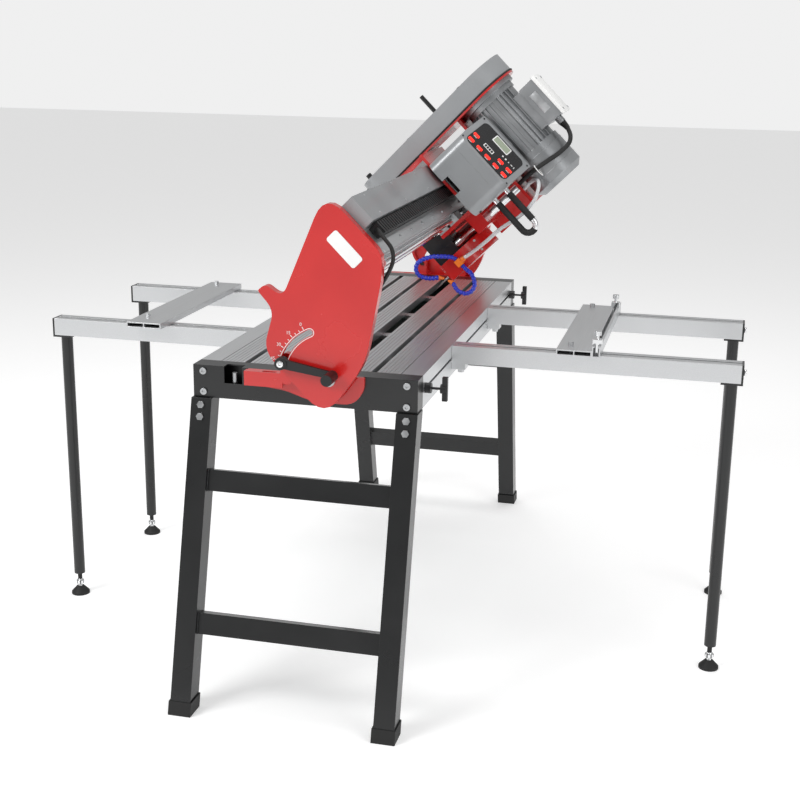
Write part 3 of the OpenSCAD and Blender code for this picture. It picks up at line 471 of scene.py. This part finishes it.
def tube(name, route, radius_at, sides=16, ring=False):
    """A round bar or hose along the route, drawn as a curve; ring joins its end to its start."""
    clear_selection()
    curve = bpy.data.curves.new(name, "CURVE")
    curve.dimensions = "3D"
    curve.bevel_depth = 1
    curve.bevel_resolution = (sides - 4) // 2
    curve.use_fill_caps = not ring
    line = curve.splines.new("POLY")
    line.points.add(len(route) - 1)
    line.use_cyclic_u = ring
    for i, point in enumerate(route):
        line.points[i].co = (*point, 1)
        line.points[i].radius = radius_at(i)
    piece = bpy.data.objects.new(name, curve)
    bpy.context.scene.collection.objects.link(piece)
    piece.select_set(True)
    bpy.context.view_layer.objects.active = piece
    bpy.ops.object.convert(target="MESH")
    return bpy.context.object


def even_steps(route, step):
    """The same route again, in steps of one length."""
    kept, left = [route[0]], step
    for a, b in zip(route, route[1:]):
        span = (b - a).length
        while span >= left > 0:
            a = a + (b - a).normalized() * left
            kept.append(a)
            span, left = span - left, step
        left -= span
    return kept + [route[-1]] if (route[-1] - kept[-1]).length > step / 3 else kept[:-1] + [route[-1]]


# --- cords -------------------------------------------------------------------------------------------
RINGS_PER_BALL = 6
RING_STEP = 1.65


def add_cord(name, points, radius, body, slot, node, ribs=0.0):
    """A cord on its route; ribs makes it a chain of ball segments of that height."""
    route = spline(points, 10)
    if ribs:
        route = even_steps(route, RING_STEP)
        swell = [math.sin(math.pi * k / RINGS_PER_BALL) for k in range(RINGS_PER_BALL)]
        piece = tube(name, route, lambda i: radius - ribs + 2 * ribs * swell[i % RINGS_PER_BALL])
    else:
        piece = tube(name, route, lambda i: radius)
    settle(piece, name, body, slot, BRIDGE, angle=50)
    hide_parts(node)


POWER_PATH = [(-167, 8, 297), (-156, -3, 301), (-138, -12, 303), (-114, -14, 300), (-94, -13, 284),
              (-82, -12, 258), (-74, -11, 228), (-66, -10, 196), (-61, -12, 166), (-62, -24, 140),
              (-66, -42, 118)]
WATER_PATH = [(-34, 812, 444), (-36, 807.5, 464), (-34, 796, 482), (-27, 779, 493), (-16, 759, 492.5),
              (-4, 743, 480.5), (8.5, 735.5, 455.5), (12.5, 738.5, 401), (2, 738.5, 343), (0, 740, 290),
              (-3, 740, 250), (-8, 739, 212)]
LEFT_PATH = [(-18, 739, 193), (-34, 731, 187), (-54, 720, 170), (-73, 710, 148), (-83, 703, 118),
             (-72, 704, 98), (-51, 709, 94), (-30, 718, 107), (-16, 726, 124)]
RIGHT_PATH = [(2, 739, 193), (20, 731, 196), (39, 721, 200.5), (63.5, 712, 191), (72, 708, 173.5),
              (66, 707.5, 155), (45, 712, 143.5), (22, 720, 146)]
MOTOR_PATH = [(-98, 870, 632), (-76, 861.5, 633), (-54.5, 847, 626.5), (-42, 828, 611), (-41, 803, 581),
              (-46, 787, 548), (-51, 782, 512), (-54, 789, 478), (-54, 803, 456), (-54, 812, 444)]

add_cord("power_lead", POWER_PATH, 4.5, "bridge", "black_rubber", "power_cable")
add_cord("motor_lead", MOTOR_PATH, 6, "head", "black_rubber", "motor_cable")
add_cord("water_feed_hose", WATER_PATH, 5, "head", "clear_hose", "coolant_hoses")
for side, points in (("left", LEFT_PATH), ("right", RIGHT_PATH)):
    add_cord(f"{side}_nozzle_hose", points, 5.5, "head", "blue_hose", "coolant_hoses", ribs=0.9)


def lead_sleeve(name, points, near_end, reach, radius, body):
    """A tapered sleeve on the first or last stretch of a lead, ringed like a moulded strain relief."""
    route = spline(points, 20)
    if near_end:
        route = route[::-1]
    kept = [route[0]]
    gone = 0
    for a, b in zip(route, route[1:]):
        gone += (b - a).length
        if gone > reach:
            break
        kept.append(b)
    last = len(kept) - 1
    taper = tube(name, kept, lambda i: radius * (1.75 - 0.6 * i / last) - 0.5 * (i % 3 == 0), sides=20)
    settle(taper, name, body, "black_rubber", BRIDGE, angle=50)


lead_sleeve("power_lead_relief", POWER_PATH, False, 26, 4.5, "bridge")
lead_sleeve("power_lead_collar", POWER_PATH, True, 24, 4.5, "bridge")
lead_sleeve("motor_lead_relief", MOTOR_PATH, False, 26, 6, "head")

# --- tilt scale and plates on the front casting -----------------------------------------------------
# Laid out in x and y as (across, up), with z out of the casting's front face
FACE = BRIDGE @ Matrix.Translation((0, CASTING_FACE, 0)) @ Matrix.Rotation(math.radians(90), 4, "X")
PRINT_HEIGHT = 0.2               # thin enough for the lever's hub to pass over it


def slot_outline(clear, line_r):
    """A painted line round the arc slot: an end's half circle and a side's arc, twice."""
    first, last = (math.radians(LOCK_ANGLE + end) for end in SLOT_ENDS)
    z = PRINT_HEIGHT - line_r
    inward = [last + (first - last) * k / 30 for k in range(1, 30)]
    outline = []
    for end, half, sweep, radius in ((last, 0, inward, SLOT_R - clear),
                                     (first, math.pi, inward[::-1], SLOT_R + clear)):
        middle = Vector((SLOT_R * math.cos(end), SLOT_R * math.sin(end), z))
        for turn in (end + half + math.pi * k / 12 for k in range(13)):
            outline.append(middle + clear * Vector((math.cos(turn), math.sin(turn), 0)))
        outline += [Vector((radius * math.cos(a), radius * math.sin(a), z)) for a in sweep]
    return tube("outline", outline, lambda i: line_r, sides=12, ring=True)


def scale_mark(degrees, inner, outer, width):
    mark = slab((inner, -width / 2, -0.6), (outer, width / 2, PRINT_HEIGHT), 0.05)
    move_mesh(mark, Matrix.Rotation(math.radians(LOCK_ANGLE + degrees), 4, "Z"))
    return mark


def numeral(label, degrees, radius, size):
    """A printed number beside its mark, upright while the bridge is tilted by 45 degrees."""
    clear_selection()
    angle = math.radians(LOCK_ANGLE + degrees)
    bpy.ops.object.text_add(location=(0, 0, 0))
    piece = bpy.context.object
    piece.data.body = label
    piece.data.size = size
    piece.data.align_x = "CENTER"
    piece.data.align_y = "CENTER"
    piece.data.extrude = 0.25        # either side of its middle
    bpy.ops.object.convert(target="MESH")
    piece = bpy.context.object
    spot = Matrix.Translation((radius * math.cos(angle), radius * math.sin(angle), PRINT_HEIGHT - 0.25))
    piece.data.transform(spot @ Matrix.Rotation(math.radians(45), 4, "Z"))
    return piece


marks = [scale_mark(d, 123.5, 130.5 if d % 15 == 0 else 127.5, 1.5) for d in range(0, 46, 5)]
marks.append(slot_outline(9.6, 1.6))
marks += [numeral(str(d), d, 137, 10.5) for d in (0, 15, 30, 45)]
settle(join(marks), "tilt_scale", "bridge", "red_paint", FACE, paint="white_print")
blank = rounded_plate(88, 32, 6, 0, 0.8, (-182, 232))
settle(blank, "blank_label", "bridge", "red_paint", FACE, paint="white_print")


# --- screws ------------------------------------------------------------------------------------------
FACING = {"X": Matrix.Rotation(math.pi / 2, 4, "Y"), "-X": Matrix.Rotation(-math.pi / 2, 4, "Y"),
          "-Y": Matrix.Rotation(math.pi / 2, 4, "X"), "Y": Matrix.Rotation(-math.pi / 2, 4, "X"),
          "Z": Matrix.Identity(4)}


def screws(name, spots, radius, height, body, slot, place, along="Z", socket=0.5):
    """Button heads with sunk sockets, made at the spots given."""
    made = []
    for spot in spots:
        head = turned(radius, height, (0, 0, height / 2), height * 0.3, 20, socket)
        move_mesh(head, Matrix.Translation(spot) @ FACING[along])
        made.append(head)
    settle(join(made), name, body, slot, place)


strip = slab((-147, -20, 285), (-119, 1336, 286.6), 0.4)
settle(strip, "bridge_strip", "bridge", "aluminium_rail", BRIDGE)
strip_spots = [(-133, 40 + 112 * i, 286.5) for i in range(12)]
screws("strip_screws", strip_spots, 3.6, 2.2, "bridge", "steel_parts", BRIDGE)
beam_spots = [(-247 + 52 * j, 60 + 240 * i, 315.9) for i in range(6) for j in (0, 1)]
screws("beam_cover_screws", beam_spots, 2.6, 1.4, "bridge", "steel_parts", BRIDGE)
belt_spots = [(-351, MOTOR[0] + y, w)
              for y, w in ((0, 590), (-78, 500), (78, 500), (-52, 300), (52, 300))]
screws("belt_cover_screws", belt_spots, 5, 2.4, "head", "black_plastic", BRIDGE, along="-X")
box_spots = [(BOX_U + BOX_HALF_W, y, w) for y, w in ((675, 345), (765, 345), (740, 440))]
screws("control_box_screws", box_spots, 4, 2.0, "carriage", "black_plastic", BRIDGE, along="X")
guard_spots = [(u, 750, 262) for u in (-24, 7)]
screws("guard_screws", guard_spots, 3.5, 2.0, "head", "steel_parts", BRIDGE, along="-Y")
for side, x, along in (("left", -820, "-X"), ("right", 974, "X")):
    screws(f"{side}_end_screws", [(x, y, RAIL_Z) for y in EXTENSION_RAILS], 7.6, 6.4, f"{side}_extension",
           "chrome_rod", TABLE, along=along, socket=0.55)
lock_u = SLOT_R * math.cos(math.radians(LOCK_ANGLE))
lock_w = SLOT_R * math.sin(math.radians(LOCK_ANGLE))
for end, y, along in (("front", -70, "-Y"), ("rear", TABLE_L + 70, "Y")):
    screws(f"{end}_lever_screw", [(PIVOT[0] + lock_u, y, PIVOT[1] + lock_w)], 8, 4, f"{end}_lever",
           "chrome_rod", TABLE, along=along)

# --- control panel -----------------------------------------------------------------------------------
frame_plate = rounded_plate(57, 28, 3, -0.4, 0.4, (0, 98))
settle(frame_plate, "display_frame", "carriage", "panel_black", PANEL, paint="white_print")
display = rounded_plate(51, 22, 2, 0.2, 0.7, (0, 98))
settle(display, "display_window", "carriage", "panel_black", PANEL, paint="display")
bar_frame = rounded_plate(34, 13, 2, -0.4, 0.3, (-15, 50))
settle(bar_frame, "bar_frame", "carriage", "panel_black", PANEL, paint="white_print")
bars = [rounded_plate(6, 9, 0.8, 0.1, 0.6, (-15 + 7.6 * (i - 1.5), 50)) for i in range(4)]
settle(join(bars), "bar_windows", "carriage", "panel_black", PANEL)
signs = [turned(2.6, 0.7, (24, 71, 0), 0.2, 24), rounded_plate(5, 5, 0.8, -0.3, 0.3, (35, 71)),
         turned(2.8, 0.7, (46, 71, 0), 0.2, 3), rounded_plate(7, 2.4, 1.0, -0.3, 0.3, (57, 71)),
         rounded_plate(2.4, 6, 1.0, -0.3, 0.3, (66, 71))]
settle(join(signs), "panel_signs", "carriage", "panel_black", PANEL, paint="white_print")
captions = [rounded_plate(12, 1.3, 0.5, -0.3, 0.25, (31 * c, 24 + 26 * r - 7.5))
            for c, r in ((-2, 0), (-1, 0), (0, 0), (1, 0), (2, 0), (-2, 1), (1, 1), (2, 1))]
settle(join(captions), "key_captions", "carriage", "panel_black", PANEL, paint="white_print")
bezel_spots = [(x, y, -0.3) for x in (-84, 84) for y in (10, 117)]
screws("bezel_screws", bezel_spots, 2.6, 1.6, "carriage", "black_plastic", PANEL)

# --- push handle: a bright bar with two grips ----------------------------------------------------------
HANDLE_BEND_U = 45
low_w, high_w = HANDLE_BARS
mid_w, bend_r = (low_w + high_w) / 2, (high_w - low_w) / 2
bend = [Vector((HANDLE_BEND_U + bend_r * math.sin(a), HANDLE_Y, mid_w - bend_r * math.cos(a)))
        for a in (math.pi * k / 16 for k in range(17))]
bar_route = [Vector((-66, HANDLE_Y, low_w))] + bend + [Vector((-66, HANDLE_Y, high_w))]
bar = tube("push_bar", bar_route, lambda i: 7.5, sides=20)
settle(bar, "push_bar", "carriage", "chrome_rod", BRIDGE, angle=50)
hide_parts("push_handle")
lower_grip = even_steps([Vector((-52, HANDLE_Y, low_w))] + bend[:11], 2)
upper_grip = even_steps([Vector((-52, HANDLE_Y, high_w)), Vector((42, HANDLE_Y, high_w))], 2)
grips = [tube("grip", route, lambda i: 9.0 if i % 4 else 8.5, sides=24)
         for route in (lower_grip, upper_grip)]
grip_pair = settle(join(grips), "push_grips", "carriage", "black_rubber", BRIDGE, angle=50)
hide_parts("push_handle")

# --- motor and cover trim -------------------------------------------------------------------------------
lid = slab((-239.5, 815.5, 654.2), (-110.5, 924.5, 664.6), 1.6)
settle(lid, "terminal_lid", "head", "aluminium_cast", BRIDGE, paint="white_print")
lid_spots = [(-175 + 54 * i, MOTOR[0] + 44 * j, 664.4) for i in (-1, 1) for j in (-1, 1)]
screws("terminal_lid_screws", lid_spots, 3.6, 1.8, "head", "steel_parts", BRIDGE)
name_plate = slab((-205, 819.2, 620), (-145, 820.2, 642), 0.3)
settle(name_plate, "blank_nameplate", "head", "steel_parts", BRIDGE)

plate_turn = Matrix.Translation((0, MOTOR[0], MOTOR[1])) @ Matrix.Rotation(math.radians(33), 4, "X")
rating = slab((-214, -81, -26), (-142, -78.6, 26), 0.3)
move_mesh(rating, plate_turn)
settle(rating, "motor_plate", "head", "aluminium_cast", BRIDGE, paint="steel_parts")
for label, u in (("fan_cover_bead", -22), ("fan_cover_band", -76)):
    route = [Vector((u, MOTOR[0] + FAN_COVER_R * math.cos(a), MOTOR[1] + FAN_COVER_R * math.sin(a)))
             for a in around(72)]
    hoop = tube(label, route, lambda i: 1.1, sides=8, ring=True)
    settle(hoop, label, "head", "aluminium_cast", BRIDGE, angle=60)


def cover_outline():
    """The mouth of the belt cover: an arc round each shaft, with straights between them."""
    (ys, ws), (ym, wm) = SPINDLE, MOTOR
    big, small = BELT_COVER_ENDS
    lean = math.asin((big - small) / (wm - ws))
    top = [(math.pi * k / 40 * (1 + 2 * lean / math.pi)) - lean for k in range(41)]
    low = [math.pi + lean + k / 24 * (math.pi - 2 * lean) for k in range(25)]
    outline = [Vector((BELT_COVER_MOUTH, ym + big * math.cos(a), wm + big * math.sin(a))) for a in top]
    outline += [Vector((BELT_COVER_MOUTH, ys + small * math.cos(a), ws + small * math.sin(a))) for a in low]
    return outline


seal = tube("cover_seal", cover_outline(), lambda i: 2.6, sides=10, ring=True)
settle(seal, "cover_seal", "head", "black_rubber", BRIDGE, angle=60)
tie_route = [Vector((-44 + 17 * math.cos(a), 784 + 11 * math.sin(a), 512)) for a in around(40)]
tie = tube("cable_tie", tie_route, lambda i: 1.4, sides=8, ring=True)
settle(tie, "cable_tie", "head", "black_plastic", BRIDGE, paint="white_print", angle=60)


# --- weld beads where the rungs meet the legs -----------------------------------------------------------
def weld_bead(side, z, seed):
    """An uneven bead round one end of a rung."""
    x = side * (HALF_W + 2.5 - LEG_TUBE)
    corners = [(-15, -25), (15, -25), (15, 25), (-15, 25), (-15, -25)]  # the rung's own section
    route = []
    for (y0, z0), (y1, z1) in zip(corners, corners[1:]):
        route += [Vector((x, y0 + (y1 - y0) * k / 8, z + z0 + (z1 - z0) * k / 8)) for k in range(8)]
    return tube("bead", route, lambda i: 1.9 + 0.5 * math.sin(2.1 * i + seed), sides=8, ring=True)


for end, rear in (("front", False), ("rear", True)):
    beads = [weld_bead(side, (z - BEAM_Z) / math.cos(math.radians(LEG_LEAN)), side + z)
             for side in (-1, 1) for z in (206, 531)]
    settle(join(beads), f"{end}_weld_beads", "stand", "black_frame", leg_place(rear), paint="weld", angle=60)

# --- bright threaded stems and nuts of the feet -----------------------------------------------------
STEM_R = 6
for number in range(1, 5):
    low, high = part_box(f"foot_{number}")
    spot = [(low[i] + high[i]) / 2 for i in (0, 1)]
    standing = Matrix.Translation((*spot, 0)) @ Matrix.Scale(MM, 4)
    stem_route = [Vector((0, 0, 20 + 0.75 * k)) for k in range(32)]
    thread = tube("thread", stem_route, lambda i: STEM_R + (0.7 if i % 2 else 0.25), sides=20)
    nut = turned(11.6, 9.4, (0, 0, 34.5), 0.8, 6)
    settle(join([thread, nut]), f"foot_stem_{number}", f"foot_{number}", "black_rubber", standing,
           paint="chrome_rod")

# --- floor and light ----------------------------------------------------------------------------------
clear_selection()
bpy.ops.mesh.primitive_plane_add(size=40, location=(0, 0, 0))
floor = bpy.context.object
floor.name = "floor"
paper = bpy.data.materials.new("pale_floor")
paper.use_nodes = True
pale = paper.node_tree.nodes["Principled BSDF"].inputs
pale["Base Color"].default_value = (0.86, 0.86, 0.86, 1)
pale["Roughness"].default_value = 0.7
pale["Emission Color"].default_value = (1, 1, 1, 1)
pale["Emission Strength"].default_value = 0.34
floor.data.materials.append(paper)

world = bpy.data.worlds.new("studio")
world.use_nodes = True
sky = world.node_tree
sky.nodes["Background"].inputs["Color"].default_value = (1, 1, 1, 1)
# Brighter to the eye than it is as a light
seen = math_node(sky, "MULTIPLY", sky.nodes.new("ShaderNodeLightPath").outputs["Is Camera Ray"], 0.42)
sky.links.new(math_node(sky, "ADD", seen, 0.45), sky.nodes["Background"].inputs["Strength"])
bpy.context.scene.world = world
bpy.context.scene.view_settings.view_transform = "Standard"


def softbox(name, at, aim, size, power):
    data = bpy.data.lights.new(name, "AREA")
    data.size = size
    data.energy = power
    light = bpy.data.objects.new(name, data)
    light.location = at
    light.rotation_euler = (Vector(aim) - Vector(at)).to_track_quat("-Z", "Y").to_euler()
    bpy.context.scene.collection.objects.link(light)


softbox("key_light", (-2.4, -2.8, 3.4), (0, 0, 0.8), 1.8, 95)
softbox("fill_light", (3.2, -2.0, 2.2), (0, 0, 0.8), 2.4, 40)
softbox("top_light", (0, 0.8, 4.2), (0, 0, 0.9), 2.6, 60)
